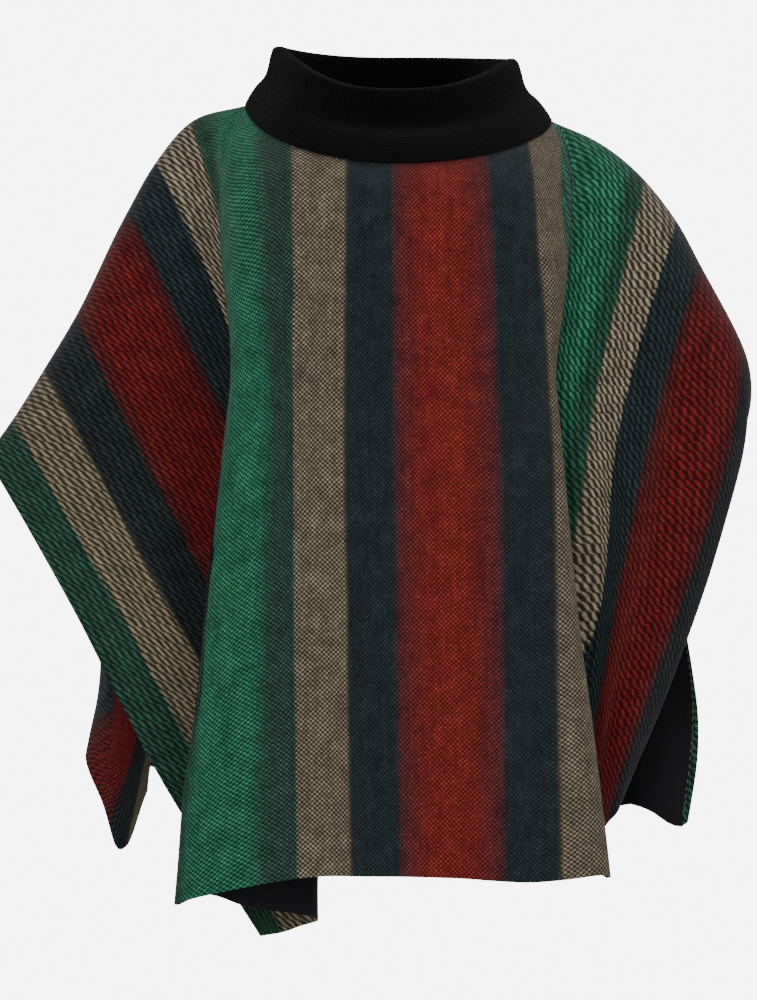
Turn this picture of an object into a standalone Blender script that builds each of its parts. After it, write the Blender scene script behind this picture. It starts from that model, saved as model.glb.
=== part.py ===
"""Wool poncho as it is worn: striped blanket cloth, black lining and a black knit funnel collar.

Sizes are in millimetres and are turned to metres when a mesh is made. +Z is up, the front
faces -Y, and the origin lies in the neck opening at shoulder height, where a wearer holds it.

The cloth is described by its lines: each line runs from the top edge of a panel, which is the
shoulder ridge or the neckline, down to the hem. A row of a table names one line, says which
part of the cloth it follows (across, measured from the middle of the centre stripe) and gives
the points that it passes at one third, at two thirds and at the hem. Sections across the
lines and curves down them make the panel, and the walls are that panel moved along its normals.
"""
import bpy
import numpy as np

METRES_PER_MM = 0.001

CLOTH_THICKNESS = 2.0
LINING_THICKNESS = 1.0
KNIT_THICKNESS = 2.4
SEAM_GAP = 0.3
LINING_GAP = 0.3
TURNED_SHARE = 0.14

NECK_LEFT, NECK_RIGHT = -195.0, 139.0
LEVELS = np.array([0.0, 1 / 3, 2 / 3, 1.0])

# Shoulder ridge: across, then x, y, z, then how far the cloth lies over the arm before it falls.
RIDGE_LEFT = np.array([
    (-582, -373, -20, -305, 110),
    (-537, -349, -17, -272, 170),
    (-487, -321, -15, -227, 220),
    (-437, -294, -13, -182, 240),
    (-337, -247, -10, -87, 250),
    (-289, -220, -9, -40, 210),
    (-244, -188, -8, -4, 170),
    (-195, -140, -8, 10, 210),
], dtype=float)
RIDGE_RIGHT = np.array([
    (139, 134, -8, -4, 200),
    (190, 178, -7, -24, 210),
    (244, 217, -5, -56, 230),
    (289, 246, -3, -93, 230),
    (337, 267, 1, -131, 220),
    (437, 309, 9, -213, 160),
    (487, 314, 13, -239, 110),
    (537, 313, 17, -261, 80),
    (582, 308, 21, -282, 60),
], dtype=float)

# Neckline: across on the cloth, and the angle on the neck ellipse, 0 at the front middle.
NECK_FRONT = np.array([(-195, -90), (-139, -43), (-92, -19), (-47, -2),
                       (0, 16), (47, 35), (92, 57), (139, 90)], dtype=float)
NECK_BACK = np.array([(-195, -90), (-112, -48), (-28, 0), (56, 48), (139, 90)], dtype=float)
NECK_MIDDLE = (-3.0, -8.0)
NECK_HALF_WIDTH = 137.0
NECK_DEPTH = {"front": 112.0, "back": 95.0}
NECK_HEIGHT = {"front": -40.0, "back": -2.0}
NECK_FALL = 190.0
NECK_SPREAD = 0.6
NECK_SLOPE = 0.55
NECK_SIDE_SLOPES = (0.16, 0.24)
NECK_REACH = 50.0
RIDGE_STEP = 2.0

# Front lines: name, across at the four levels, then x, y, z at one third, two thirds, hem.
FRONT_LINES = [
    ("selvedge_left", (-582, -582, -582, -582), (-292, -62, -446), (-217, -72, -592), (-127, -54, -735)),
    ("wing_left_outer", (-465, -480, -510, -540), (-240, -80, -368), (-173, -74, -543), (-109, -50, -732)),
    ("wing_left_inner", (-345, -380, -435, -520), (-190, -62, -283), (-138, -72, -490), (-91, -54, -726)),
    ("tuck_left", (-235, -290, -365, -500), (-122, -72, -262), (-86, -96, -480), (-73, -82, -719)),
    ("under_left", (-212, -268, -305, -375), (-140, -98, -256), (-130, -120, -475), (-140, -116, -708)),
    ("edge_left", (-195, -245, -246, -249), (-158, -126, -250), (-181, -138, -470), (-202, -138, -705)),
    ("green_left", (-139, -139, -139, -139), (-96, -143, -252), (-94, -152, -468), (-91, -148, -681)),
    ("charcoal_left", (-70, -70, -70, -70), (-28, -158, -252), (-26, -166, -468), (-23, -161, -681)),
    ("red_middle", (0, 0, 0, 0), (38, -163, -254), (41, -170, -470), (45, -163, -684)),
    ("charcoal_right", (70, 70, 70, 70), (107, -147, -256), (112, -158, -472), (117, -153, -687)),
    ("edge_right", (139, 106, 123, 155), (140, -112, -255), (159, -120, -470), (186, -112, -676)),
    ("under_right", (150, 143, 170, 225), (129, -101, -254), (129, -106, -468), (134, -98, -670)),
    ("tuck_right", (172, 165, 212, 315), (125, -84, -256), (101, -84, -466), (80, -72, -664)),
    ("wing_right_inner", (244, 250, 285, 365), (176, -76, -256), (177, -62, -434), (151, -44, -656)),
    ("wing_right_outer", (337, 345, 365, 420), (228, -70, -281), (195, -56, -468), (178, -36, -640)),
    ("roll_right", (437, 455, 467, 480), (304, -26, -308), (261, -26, -452), (198, -20, -612)),
    ("behind_roll", (505, 508, 515, 525), (294, 0, -322), (238, 2, -464), (182, 0, -608)),
    ("selvedge_right", (582, 582, 582, 582), (278, 20, -340), (212, 20, -474), (158, 4, -604)),
]

BACK_LINES = [
    ("selvedge_left", (-582, -582, -582, -582), (-286, 6, -412), (-224, 34, -500), (-230, 44, -606)),
    ("roll_left", (-540, -530, -515, -502), (-298, 26, -402), (-234, 12, -508), (-250, 12, -655)),
    ("red_edge_left", (-480, -465, -450, -437), (-298, 50, -380), (-262, 22, -500), (-268, 20, -621)),
    ("bulge_left", (-400, -370, -345, -337), (-274, 84, -342), (-270, 62, -488), (-284, 54, -571)),
    ("back_left", (-290, -275, -262, -250), (-206, 116, -278), (-218, 120, -450), (-226, 120, -586)),
    ("neck_left", (-195, -195, -195, -195), (-148, 132, -248), (-158, 142, -444), (-160, 146, -612)),
    ("middle_left", (-112, -112, -112, -112), (-72, 142, -236), (-76, 160, -438), (-80, 152, -632)),
    ("middle", (-28, -28, -28, -28), (4, 145, -232), (4, 156, -436), (4, 160, -642)),
    ("middle_right", (56, 56, 56, 56), (78, 142, -238), (82, 160, -440), (88, 152, -640)),
    ("neck_right", (139, 139, 139, 139), (146, 132, -252), (154, 140, -446), (156, 146, -630)),
    ("back_right", (244, 240, 238, 236), (208, 120, -274), (212, 124, -450), (210, 134, -620)),
    ("side_right", (360, 350, 342, 335), (262, 126, -322), (240, 106, -470), (254, 98, -614)),
    ("tuck_right", (480, 475, 470, 470), (279, 112, -350), (212, 64, -486), (202, 58, -604)),
    ("selvedge_right", (582, 582, 582, 582), (252, 80, -378), (260, 50, -545), (256, 44, -639)),
]

# Soft flutes: across, half width, depth at the hem, and the level where each one dies out. The
# depth grows from there to the hem with FLUTE_POWER.
FRONT_FLUTES = [(-180, 34, 5, 0.35), (-40, 60, -5, 0.25), (60, 36, 5, 0.4), (-500, 40, 4, 0.2)]
BACK_FLUTES = [(-150, 40, 9, 0.25), (-60, 34, -7, 0.35), (25, 42, 10, 0.2), (110, 36, -8, 0.3),
               (180, 34, 8, 0.3)]
FLUTE_POWER = 1.5

# Collar profile from the neck seam, over the fold and down inside: lean from the seam to the rim
# and height, both as shares. A lean beyond 1 goes inward by that share of COLLAR_FOLD_IN.
COLLAR_PROFILE = np.array([
    (0.00, 0.00), (0.15, 0.14), (0.40, 0.32), (0.67, 0.46), (0.81, 0.62), (0.90, 0.82), (1.00, 0.97),
    (1.09, 1.00), (1.17, 0.96), (1.16, 0.72), (1.13, 0.46), (1.12, 0.20),
])
RIM_MIDDLE = (-6.0, -6.0)
RIM_HALF_WIDTH = 109.0
RIM_DEPTH = {"front": 86.0, "back": 76.0}
RIM_HEIGHT = {"front": 23.0, "back": 55.0, "left": 63.0, "right": 52.0}
RIM_RISE_POWER = 2.6
COLLAR_FOLD_IN = 55.0
COLLAR_STAND = 1.7

# Pieces of each span between two lines in the solids; folds take more than flat stretches.
FRONT_SPLITS = (2, 2, 3, 2, 3, 4, 4, 4, 4, 4, 2, 3, 3, 2, 3, 2, 2)
BACK_SPLITS = (2, 2, 3, 2, 2, 4, 4, 4, 4, 2, 3, 3, 3)
FRONT_ROWS = 19
BACK_ROWS = 17
SHARP_EDGE = np.radians(50)

FINISHES = {
    "striped_wool": ((0.10, 0.13, 0.12), 0.95),
    "striped_wool_back": ((0.12, 0.10, 0.10), 0.95),
    "black_lining": ((0.008, 0.008, 0.011), 0.8),
    "black_knit": ((0.004, 0.004, 0.005), 0.9),
}


def slopes_at(knots, values):
    """Slope at each knot: the two neighbouring rates, each weighted by the other one's span."""
    step = np.diff(knots)[..., None]
    rate = np.diff(values, axis=-2) / step
    near, far = rate[..., :-1, :], rate[..., 1:, :]
    inner = (near * step[..., 1:, :] + far * step[..., :-1, :]) / (step[..., 1:, :] + step[..., :-1, :])
    return np.concatenate([rate[..., :1, :], inner, rate[..., -1:, :]], axis=-2)


def hermite(knots, values, slopes, span, part):
    """Cubic through the knots: the blend of two values and two slopes, part of the way along."""
    width = (knots[..., span + 1] - knots[..., span])[..., None]
    p = part[:, None]
    return ((2 * p**3 - 3 * p**2 + 1) * values[..., span, :]
            + (p**3 - 2 * p**2 + p) * width * slopes[..., span, :]
            + (3 * p**2 - 2 * p**3) * values[..., span + 1, :]
            + (p**3 - p**2) * width * slopes[..., span + 1, :])


def table_at(table, across):
    """Smooth values of a table whose first column is the place across the cloth."""
    knots, values = table[:, 0], table[:, 1:]
    span = np.clip(np.searchsorted(knots, across, side="right") - 1, 0, len(knots) - 2)
    part = (across - knots[span]) / (knots[span + 1] - knots[span])
    return hermite(knots, values, slopes_at(knots, values), span, part)


def neck_side_height(leftward):
    """Height of the neckline's side, where the shoulder ridge meets it."""
    return np.where(leftward, RIDGE_LEFT[-1, 3], RIDGE_RIGHT[0, 3])


def neck_dip(leftward, side):
    """Slope of the neckline where it leaves the ridge, towards the front or the back."""
    return (neck_side_height(leftward) - NECK_HEIGHT[side]) / NECK_DEPTH[side]


def neck_point(angle, side):
    """Point of the neckline: an ellipse whose height dips towards the front and the back."""
    turn = np.radians(angle)
    sign = -1.0 if side == "front" else 1.0
    side_height = neck_side_height(angle < 0)
    middle_height = NECK_HEIGHT[side]
    return np.stack([
        NECK_MIDDLE[0] + NECK_HALF_WIDTH * np.sin(turn),
        NECK_MIDDLE[1] + sign * NECK_DEPTH[side] * np.cos(turn),
        middle_height + (side_height - middle_height) * (1 - np.cos(turn)),
    ], axis=-1)


def top_edge(across, side):
    """Points of a panel's top edge and the way the cloth leaves it, per unit of level."""
    sign = -1.0 if side == "front" else 1.0
    points = np.zeros((len(across), 3))
    leave = np.zeros((len(across), 3))
    for table, chosen in ((RIDGE_LEFT, across <= NECK_LEFT), (RIDGE_RIGHT, across >= NECK_RIGHT)):
        place = across[chosen]
        found = table_at(table, place)
        ahead = table_at(table, np.clip(place + RIDGE_STEP, table[0, 0], table[-1, 0]))
        behind = table_at(table, np.clip(place - RIDGE_STEP, table[0, 0], table[-1, 0]))
        along = ahead[:, :3] - behind[:, :3]
        along /= np.linalg.norm(along, axis=1, keepdims=True)
        outward = along * np.sign(place)[:, None]
        fade = np.exp(-np.abs(place - np.clip(place, NECK_LEFT, NECK_RIGHT)) / NECK_REACH)
        fall = np.stack([0 * place, 0 * place + sign, -neck_dip(place < 0, side) * fade], axis=-1)
        points[chosen] = found[:, :3]
        leave[chosen] = found[:, 3:] * (outward * (NECK_SPREAD * fade)[:, None] + fall)
    inside = (across > NECK_LEFT) & (across < NECK_RIGHT)
    table = NECK_FRONT if side == "front" else NECK_BACK
    angle = table_at(table, across[inside])[:, 0]
    turn = np.radians(angle)
    slope = np.where(angle < 0, *NECK_SIDE_SLOPES) + neck_dip(angle < 0, side)
    heading = np.stack([NECK_SPREAD * np.sin(turn), np.full(len(turn), sign),
                        -NECK_SLOPE * np.cos(turn) - slope * np.abs(np.sin(turn))], axis=-1)
    points[inside] = neck_point(angle, side)
    leave[inside] = NECK_FALL * heading
    return points, leave / LEVELS[1]


def flute_depth(flutes, across, level):
    """Depth of the soft flutes: a bell across the cloth that grows from its start to the hem."""
    depth = np.zeros(across.shape)
    for middle, half_width, most, start in flutes:
        bell = np.exp(-((across - middle) / half_width) ** 2)
        depth += most * bell * np.clip((level - start) / (1 - start), 0, 1) ** FLUTE_POWER
    return depth


def panel_normals(points, across, side):
    """Unit normals that face out of the garment; on the ridge both panels share one normal."""
    along = np.gradient(points, axis=1)
    down = np.gradient(points, axis=0)
    normal = np.cross(down, along) if side == "front" else np.cross(along, down)
    normal = -normal if normal[0, :, 2].mean() < 0 else normal
    for ridge, outward in ((across[0] <= NECK_LEFT, -1.0), (across[0] >= NECK_RIGHT, 1.0)):
        tangent = np.gradient(points[0, ridge], axis=0)
        shared = np.stack([-tangent[:, 2], np.zeros(len(tangent)), tangent[:, 0]], axis=-1)
        facing = shared[:, 0] * outward + shared[:, 2]
        normal[0, ridge] = shared * np.sign(facing)[:, None]
    return normal / np.linalg.norm(normal, axis=2, keepdims=True)


def column_places(splits):
    """Span and part of the way along it of each column, with one column inside each selvedge."""
    span = np.repeat(np.arange(len(splits)), splits)
    part = np.concatenate([np.arange(n) / n for n in splits])
    last = len(splits) - 1
    span = np.concatenate([[0, 0], span[1:], [last, last]])
    part = np.concatenate([[0.0, TURNED_SHARE], part[1:], [1.0 - TURNED_SHARE, 1.0]])
    return span, part


def panel_grid(lines, side, splits, rows, flutes):
    """Points, places across the cloth and normals of a panel, as rows down and columns across.

    Each level is a section: a cubic through its lines, with knots at the roots of the chords.
    Each column then runs down a cubic through its four levels, leaving the top edge flat.
    """
    span, part = column_places(splits)
    line_across = np.array([line[1] for line in lines], dtype=float).T
    low = np.array([line[2:] for line in lines], dtype=float).transpose(1, 0, 2)
    chords = np.sqrt(np.linalg.norm(np.diff(low, axis=1), axis=2))
    knots = np.concatenate([np.zeros((3, 1)), np.cumsum(chords, axis=1)], axis=1)
    sections = hermite(knots, low, slopes_at(knots, low), span, part)
    across_levels = line_across[:, span] * (1 - part) + line_across[:, span + 1] * part
    top, leave = top_edge(across_levels[0], side)
    levels = np.concatenate([np.concatenate([top[None], sections]), across_levels[..., None]], axis=2)
    columns = levels.transpose(1, 0, 2)
    slopes = slopes_at(np.broadcast_to(LEVELS, columns.shape[:2]), columns)
    slopes[:, 0, :3] = leave
    level = np.linspace(0, 1, rows)
    row_span = np.clip((level * 3).astype(int), 0, 2)
    row_part = level * 3 - row_span
    grid = hermite(np.broadcast_to(LEVELS, columns.shape[:2]), columns, slopes, row_span, row_part)
    grid = grid.transpose(1, 0, 2)
    points, across = grid[..., :3], grid[..., 3]
    normals = panel_normals(points, across, side)
    points = points + normals * flute_depth(flutes, across, level[:, None])[..., None]
    normals = panel_normals(points, across, side)
    ridge = (across[0] <= NECK_LEFT) | (across[0] >= NECK_RIGHT)
    points[0, ridge, 1] += (-0.5 if side == "front" else 0.5) * SEAM_GAP
    return points, across, normals


def wall_faces(rows, columns, closed):
    """Quads of a wall: the outer face, the inner face turned round, and the rims between them."""
    turn = columns if closed else columns - 1
    row, column = np.meshgrid(np.arange(rows - 1), np.arange(turn), indexing="ij")
    after = (column + 1) % columns
    outer = np.stack([row * columns + column, row * columns + after,
                      (row + 1) * columns + after, (row + 1) * columns + column], axis=-1).reshape(-1, 4)
    back = rows * columns
    inner = outer[:, ::-1] + back
    ends = []
    for edge_row, reverse in ((0, True), (rows - 1, False)):
        here = edge_row * columns + np.arange(turn)
        there = edge_row * columns + (np.arange(turn) + 1) % columns
        rim = np.stack([here, there, there + back, here + back], axis=-1)
        ends.append(rim[:, ::-1] if reverse else rim)
    if not closed:
        for edge_column, reverse in ((0, False), (columns - 1, True)):
            here = np.arange(rows - 1) * columns + edge_column
            rim = np.stack([here, here + columns, here + columns + back, here + back], axis=-1)
            ends.append(rim[:, ::-1] if reverse else rim)
    return np.concatenate([outer, inner] + ends)


def halved(quads, back):
    """Two triangles for each quad, cut along the same diagonal of the grid on both faces.

    The diagonal starts at the corner with the lowest number, so that the facets of a panel and
    of the lining behind it stay parallel.
    """
    first = np.argmin(quads % back + (quads // back) * 0.5, axis=1)
    turned = np.take_along_axis(quads, (first[:, None] + np.arange(4)) % 4, axis=1)
    return np.concatenate([turned[:, [0, 1, 2]], turned[:, [0, 2, 3]]])


def enclosed_volume(points, faces):
    """Signed volume of quads: the sum of the cones from the origin to each half of each quad."""
    a, b, c, d = (points[faces[:, k]] for k in range(4))
    cones = np.einsum("ij,ij->i", a, np.cross(b, c)) + np.einsum("ij,ij->i", a, np.cross(c, d))
    return cones.sum() / 6.0


def wall_object(name, points, normals, outer, inner, finish, closed=False):
    """Solid wall between two offsets of a grid of points, as one named object."""
    rows, columns = points.shape[:2]
    shell = np.concatenate([(points + outer * normals).reshape(-1, 3),
                            (points + inner * normals).reshape(-1, 3)])
    quads = wall_faces(rows, columns, closed)
    if enclosed_volume(shell, quads) < 0:
        quads = quads[:, ::-1]
    faces = halved(quads, rows * columns)
    mesh = bpy.data.meshes.new(name)
    mesh.from_pydata((shell * METRES_PER_MM).tolist(), [], faces.tolist())
    mesh.update()
    mesh.shade_smooth()
    mesh.set_sharp_from_angle(angle=SHARP_EDGE)
    mesh.materials.append(cloth_material(finish))
    piece = bpy.data.objects.new(name, mesh)
    bpy.context.collection.objects.link(piece)
    return piece


def cloth_material(name):
    """Plain material in the cloth's main colour and roughness."""
    found = bpy.data.materials.get(name)
    if found:
        return found
    colour, roughness = FINISHES[name]
    material = bpy.data.materials.new(name)
    material.use_nodes = True
    shader = material.node_tree.nodes["Principled BSDF"]
    shader.inputs["Base Color"].default_value = (*colour, 1.0)
    shader.inputs["Roughness"].default_value = roughness
    shader.inputs["Metallic"].default_value = 0.0
    return material


def panel_and_lining(side, lines, splits, rows, flutes, finish):
    """One panel of striped cloth, and its lining made from the same points, moved inward.

    The lining stops at the column inside each selvedge, where the cloth is turned in.
    """
    points, across, normals = panel_grid(lines, side, splits, rows, flutes)
    half = CLOTH_THICKNESS / 2
    wall_object(side + "_panel", points, normals, half, -half, finish)
    face = -half - LINING_GAP
    wall_object(side + "_lining", points[:, 1:-1], normals[:, 1:-1], face, face - LINING_THICKNESS,
                "black_lining")
    neck = (across[0] >= NECK_LEFT) & (across[0] <= NECK_RIGHT)
    table = NECK_FRONT if side == "front" else NECK_BACK
    return table_at(table, across[0, neck])[:, 0]


def rim_point(angle, side):
    """Point of the collar's rim: an ellipse, high at the sides and the back, low in front."""
    turn = np.radians(angle)
    sign = -1.0 if side == "front" else 1.0
    side_height = np.where(angle < 0, RIM_HEIGHT["left"], RIM_HEIGHT["right"])
    rise = np.abs(np.sin(turn)) ** RIM_RISE_POWER
    return np.stack([
        RIM_MIDDLE[0] + RIM_HALF_WIDTH * np.sin(turn),
        RIM_MIDDLE[1] + sign * RIM_DEPTH[side] * np.cos(turn),
        RIM_HEIGHT[side] + (side_height - RIM_HEIGHT[side]) * rise,
    ], axis=-1)


def knit_collar(front_angles, back_angles):
    """Funnel collar: knit folded over at the rim, from the neck seam up and down again inside.

    Its columns stand at the panels' own columns, so their facets stay parallel at the seam.
    """
    back_inner = back_angles[-2:0:-1]
    seam = np.concatenate([neck_point(front_angles, "front"), neck_point(back_inner, "back")])
    rim = np.concatenate([rim_point(front_angles, "front"), rim_point(back_inner, "back")])
    middle = seam[:, :2].mean(axis=0)
    inward = middle - seam[:, :2]
    inward /= np.linalg.norm(inward, axis=1, keepdims=True)
    start = seam + np.array([0.0, 0.0, COLLAR_STAND])
    lean, rise = COLLAR_PROFILE[:, 0], COLLAR_PROFILE[:, 1]
    points = np.zeros((len(lean), len(seam), 3))
    points[..., :2] = start[None, :, :2] + (rim - start)[None, :, :2] * np.minimum(lean, 1)[:, None, None]
    points[..., :2] += inward[None] * (np.maximum(lean - 1, 0) * COLLAR_FOLD_IN)[:, None, None]
    points[..., 2] = start[None, :, 2] + (rim - start)[None, :, 2] * rise[:, None]
    around = np.roll(points, -1, axis=1) - np.roll(points, 1, axis=1)
    up = np.gradient(points, axis=0)
    normals = np.cross(around, up)
    normals /= np.linalg.norm(normals, axis=2, keepdims=True)
    half = KNIT_THICKNESS / 2
    return wall_object("knit_collar", points, normals, half, -half, "black_knit", closed=True)


def main():
    """Empty the scene, then make both panels with their linings, and the collar between them."""
    for old in list(bpy.data.objects):
        bpy.data.objects.remove(old)
    front_angles = panel_and_lining("front", FRONT_LINES, FRONT_SPLITS, FRONT_ROWS, FRONT_FLUTES,
                                    "striped_wool")
    back_angles = panel_and_lining("back", BACK_LINES, BACK_SPLITS, BACK_ROWS, BACK_FLUTES,
                                   "striped_wool_back")
    knit_collar(front_angles, back_angles)


main()
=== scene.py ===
"""Wool poncho as it is worn: striped blanket cloth, black lining and a black knit funnel collar.

Lengths in the tables are in millimetres; meshes are turned to metres when they are made. +Z is
up, the front faces -Y and the origin lies in the neck opening at shoulder height.

The shape follows the CAD solids: the same lines give the sections and columns, with more points,
and only the places across, which carry the stripes, and two of the back's lines are read more
closely. Soft creases and ripples are then added along the cloth's normals. Every cloth carries
its own cut as UV: across from the middle of the centre stripe, and up from the hem, both in
metres, so that stripes and weave keep their real size.
"""

import bpy
import numpy as np
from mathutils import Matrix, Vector


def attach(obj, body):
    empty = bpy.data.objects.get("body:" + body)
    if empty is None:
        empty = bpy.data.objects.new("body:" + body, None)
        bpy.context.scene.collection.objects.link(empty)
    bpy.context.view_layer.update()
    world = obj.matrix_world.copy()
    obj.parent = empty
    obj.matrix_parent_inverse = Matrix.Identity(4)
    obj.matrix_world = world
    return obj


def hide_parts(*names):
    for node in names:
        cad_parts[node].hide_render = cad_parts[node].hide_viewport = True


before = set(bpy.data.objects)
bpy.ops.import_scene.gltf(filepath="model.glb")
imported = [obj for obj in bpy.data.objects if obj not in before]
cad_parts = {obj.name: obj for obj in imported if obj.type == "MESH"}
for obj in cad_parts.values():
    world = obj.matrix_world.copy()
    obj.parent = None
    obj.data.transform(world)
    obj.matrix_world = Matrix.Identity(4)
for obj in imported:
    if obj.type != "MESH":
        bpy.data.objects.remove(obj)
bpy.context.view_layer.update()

METRES_PER_MM = 0.001

CLOTH_THICKNESS = 2.0
LINING_THICKNESS = 1.0
KNIT_THICKNESS = 2.4
SEAM_GAP = 0.3
LINING_GAP = 0.3

# Corners of the neck, across the cloth, and the levels of each panel's sections, from top to hem.
NECK_LEFT, NECK_RIGHT = -195.0, 139.0
LEVELS = np.array([0.0, 1 / 3, 2 / 3, 1.0])

# Shoulder ridge: across, then x, y, z, then how far the cloth lies over the arm before it falls.
RIDGE_LEFT = np.array([
    (-582, -373, -20, -305, 110),
    (-537, -349, -17, -272, 170),
    (-487, -321, -15, -227, 220),
    (-437, -294, -13, -182, 240),
    (-337, -247, -10, -87, 250),
    (-289, -220, -9, -40, 210),
    (-244, -188, -8, -4, 170),
    (-195, -140, -8, 10, 210),
], dtype=float)
RIDGE_RIGHT = np.array([
    (139, 134, -8, -4, 200),
    (190, 178, -7, -24, 210),
    (244, 217, -5, -56, 230),
    (289, 246, -3, -93, 230),
    (337, 267, 1, -131, 220),
    (437, 309, 9, -213, 160),
    (487, 314, 13, -239, 110),
    (537, 313, 17, -261, 80),
    (582, 308, 21, -282, 60),
], dtype=float)
# Half the step over which the ridge's direction is taken.
RIDGE_STEP = 2.0

# Neckline: across on the cloth, and the angle on the neck ellipse, 0 at the front middle.
NECK_FRONT = np.array([(-195, -90), (-139, -43), (-92, -19), (-47, -2),
                       (0, 16), (47, 35), (92, 57), (139, 90)], dtype=float)
NECK_BACK = np.array([(-195, -90), (-112, -48), (-28, 0), (56, 48), (139, 90)], dtype=float)
NECK_MIDDLE = (-3.0, -8.0)
NECK_HALF_WIDTH = 137.0
NECK_DEPTH = {"front": 112.0, "back": 95.0}
NECK_HEIGHT = {"front": -40.0, "back": -2.0}
NECK_FALL = 190.0
NECK_SPREAD = 0.6
NECK_SLOPE = 0.55
NECK_SIDE_SLOPES = (0.16, 0.24)
NECK_REACH = 50.0

# Front lines: name, across at the four levels, then x, y, z at one third, two thirds, hem.
FRONT_LINES = [
    ("selvedge_left", (-582, -582, -582, -582), (-292, -62, -446), (-217, -72, -592), (-127, -54, -735)),
    ("wing_left_outer", (-465, -480, -510, -540), (-240, -80, -368), (-173, -74, -543), (-109, -50, -732)),
    ("wing_left_inner", (-345, -380, -435, -520), (-190, -62, -283), (-138, -72, -490), (-91, -54, -726)),
    ("tuck_left", (-225, -275, -365, -500), (-122, -72, -262), (-86, -96, -480), (-73, -82, -719)),
    ("under_left", (-208, -240, -275, -345), (-140, -98, -256), (-130, -120, -475), (-140, -116, -708)),
    ("edge_left", (-195, -232, -236, -238), (-158, -126, -250), (-181, -138, -470), (-202, -138, -705)),
    ("green_left", (-139, -139, -139, -139), (-96, -143, -252), (-94, -152, -468), (-91, -148, -681)),
    ("charcoal_left", (-70, -70, -70, -70), (-28, -158, -252), (-26, -166, -468), (-23, -161, -681)),
    ("red_middle", (0, 0, 0, 0), (38, -163, -254), (41, -170, -470), (45, -163, -684)),
    ("charcoal_right", (70, 70, 70, 74), (107, -147, -256), (112, -158, -472), (117, -153, -687)),
    ("edge_right", (139, 106, 123, 141), (140, -112, -255), (159, -120, -470), (186, -112, -676)),
    ("under_right", (150, 143, 170, 225), (129, -101, -254), (129, -106, -468), (134, -98, -670)),
    ("tuck_right", (172, 165, 212, 315), (125, -84, -256), (101, -84, -466), (80, -72, -664)),
    ("wing_right_inner", (244, 250, 285, 365), (176, -76, -256), (177, -62, -434), (151, -44, -656)),
    ("wing_right_outer", (337, 345, 365, 420), (228, -70, -281), (195, -56, -468), (178, -36, -640)),
    ("roll_right", (437, 469, 480, 492), (304, -26, -308), (261, -26, -452), (198, -20, -612)),
    ("behind_roll", (505, 508, 515, 525), (294, 0, -322), (238, 2, -464), (182, 0, -608)),
    ("selvedge_right", (582, 582, 582, 582), (278, 20, -340), (212, 20, -474), (158, 4, -604)),
]

BACK_LINES = [
    ("selvedge_left", (-582, -582, -556, -534), (-286, 6, -412), (-224, 34, -500), (-230, 44, -606)),
    ("roll_left", (-540, -520, -455, -484), (-298, 26, -402), (-234, 12, -508), (-250, 12, -655)),
    ("red_edge_left", (-480, -455, -330, -415), (-298, 50, -380), (-262, 22, -500), (-268, 20, -621)),
    ("bulge_left", (-400, -365, -318, -342), (-274, 84, -342), (-270, 62, -488), (-284, 54, -571)),
    ("back_left", (-290, -275, -262, -250), (-206, 116, -278), (-218, 120, -450), (-226, 120, -586)),
    ("neck_left", (-195, -195, -195, -195), (-148, 132, -248), (-158, 142, -444), (-160, 146, -612)),
    ("middle_left", (-112, -112, -112, -112), (-72, 142, -236), (-76, 160, -438), (-80, 152, -632)),
    ("middle", (-28, -28, -28, -28), (4, 145, -232), (4, 156, -436), (4, 160, -642)),
    ("middle_right", (56, 56, 56, 56), (78, 142, -238), (82, 160, -440), (88, 152, -640)),
    ("neck_right", (139, 139, 139, 139), (146, 132, -252), (154, 140, -446), (156, 146, -630)),
    ("back_right", (244, 240, 238, 236), (208, 120, -274), (212, 124, -450), (210, 134, -620)),
    ("side_right", (360, 350, 342, 335), (262, 126, -322), (240, 106, -470), (254, 98, -614)),
    ("tuck_right", (480, 475, 470, 470), (279, 112, -350), (212, 64, -486), (203, 58, -612)),
    ("selvedge_right", (582, 582, 582, 582), (252, 80, -378), (268, 50, -545), (258, 44, -639)),
]

# Soft flutes: across, half width, depth at the hem, and the level where each one dies out. The
# depth grows from there to the hem with FLUTE_POWER.
FRONT_FLUTES = [(-180, 34, 5, 0.35), (-40, 60, -5, 0.25), (60, 36, 5, 0.4), (-500, 40, 4, 0.2)]
BACK_FLUTES = [(-150, 40, 9, 0.25), (-60, 34, -7, 0.35), (25, 42, 10, 0.2), (110, 36, -8, 0.3),
               (180, 34, 8, 0.3)]
FLUTE_POWER = 1.5

# Collar profile from the neck seam, over the fold and down inside: lean from the seam to the rim
# and height, both as shares. A lean beyond 1 goes inward by that share of COLLAR_FOLD_IN.
COLLAR_PROFILE = np.array([
    (0.00, 0.00), (0.15, 0.14), (0.40, 0.32), (0.67, 0.46), (0.81, 0.62), (0.90, 0.82), (1.00, 0.97),
    (1.09, 1.00), (1.17, 0.96), (1.16, 0.72), (1.13, 0.46), (1.12, 0.20),
])
RIM_MIDDLE = (-6.0, -6.0)
RIM_HALF_WIDTH = 109.0
RIM_DEPTH = {"front": 86.0, "back": 76.0}
RIM_HEIGHT = {"front": 23.0, "back": 55.0, "left": 63.0, "right": 52.0}
RIM_RISE_POWER = 2.6
COLLAR_STAND = 1.7
# In front the band lies over its seam: how far it slips forward and down from it.
COLLAR_OVERLAY = np.array([0.0, -11.0, -4.6])
COLLAR_FOLD_IN = 55.0
COLLAR_GIRTH = 790.0
COLLAR_COLUMNS = 288
COLLAR_ROWS = 56

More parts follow.
